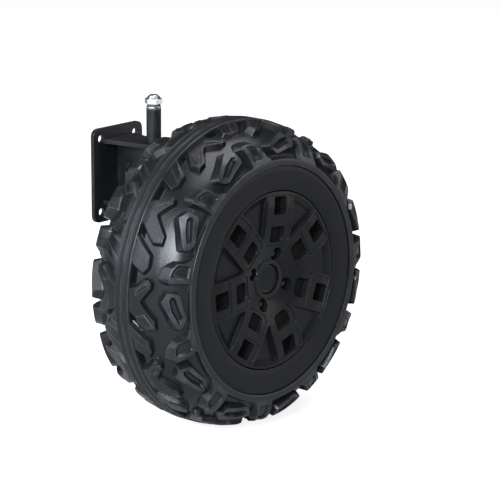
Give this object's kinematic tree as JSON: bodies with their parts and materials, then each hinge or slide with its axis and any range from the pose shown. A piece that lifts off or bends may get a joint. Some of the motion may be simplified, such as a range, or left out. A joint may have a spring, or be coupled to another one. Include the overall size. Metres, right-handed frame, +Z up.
{
  "type": "front wheel with steering knuckle for a ride-on toy car",
  "caption": "Knobbly moulded toy-car wheel with a smooth rim ring and a spoked disc, on a stub axle and a knuckle that steers on a kingpin held by a bolted bracket.",
  "frame": {"origin": "middle of the back face of the mounting plate, which bolts to the toy car's frame", "axes": "+X to the rear of the car, +Y inboard, -Y out through the wheel's face, +Z up"},
  "size_m": [0.3492, 0.247, 0.3608],
  "materials": {
    "tyre_plastic": "matt charcoal moulded plastic",
    "wheel_plastic": "satin charcoal moulded plastic",
    "bright_steel": "zinc plated",
    "dark_steel": "blackened",
    "black_steel": "black powder coat",
    "nylon": "black nylon"
  },
  "bodies": {
    "bracket": {"mounting_plate": "black_steel", "bracket_web": "black_steel", "bracket_upper": "black_steel", "bracket_lower": "black_steel", "kingpin_sleeve": "black_steel", "sleeve_bush_upper": "nylon", "sleeve_bush_lower": "nylon"},
    "knuckle": {"steering_knuckle": "black_steel", "kingpin_bolt": "bright_steel", "kingpin_washer": "bright_steel", "kingpin_spacer": "nylon", "kingpin_nut": "bright_steel", "thrust_washer": "nylon", "stub_axle": "bright_steel", "axle_spacer": "bright_steel", "axle_washer": "bright_steel", "axle_nut": "bright_steel"},
    "wheel": {"tyre_outer_half": "tyre_plastic", "tyre_inner_half": "tyre_plastic", "rim_ring": "wheel_plastic", "wheel_drum": "wheel_plastic", "spoke_disc": "wheel_plastic", "centre_cap": "wheel_plastic", "disc_screw_1": "dark_steel", "disc_screw_2": "dark_steel", "disc_screw_3": "dark_steel", "disc_screw_4": "dark_steel", "hub_bush_outer": "nylon", "hub_bush_inner": "nylon"}
  },
  "joints": [
    {"name": "steer", "type": "hinge", "parent": "bracket", "child": "knuckle", "pos_m": [0, -0.062, 0], "axis": [0, 0, 1], "range_deg": [-28, 28]},
    {"name": "wheel_spin", "type": "hinge", "parent": "knuckle", "child": "wheel", "pos_m": [0, -0.178, -0.088], "axis": [0, -1, 0], "continuous": true}
  ]
}
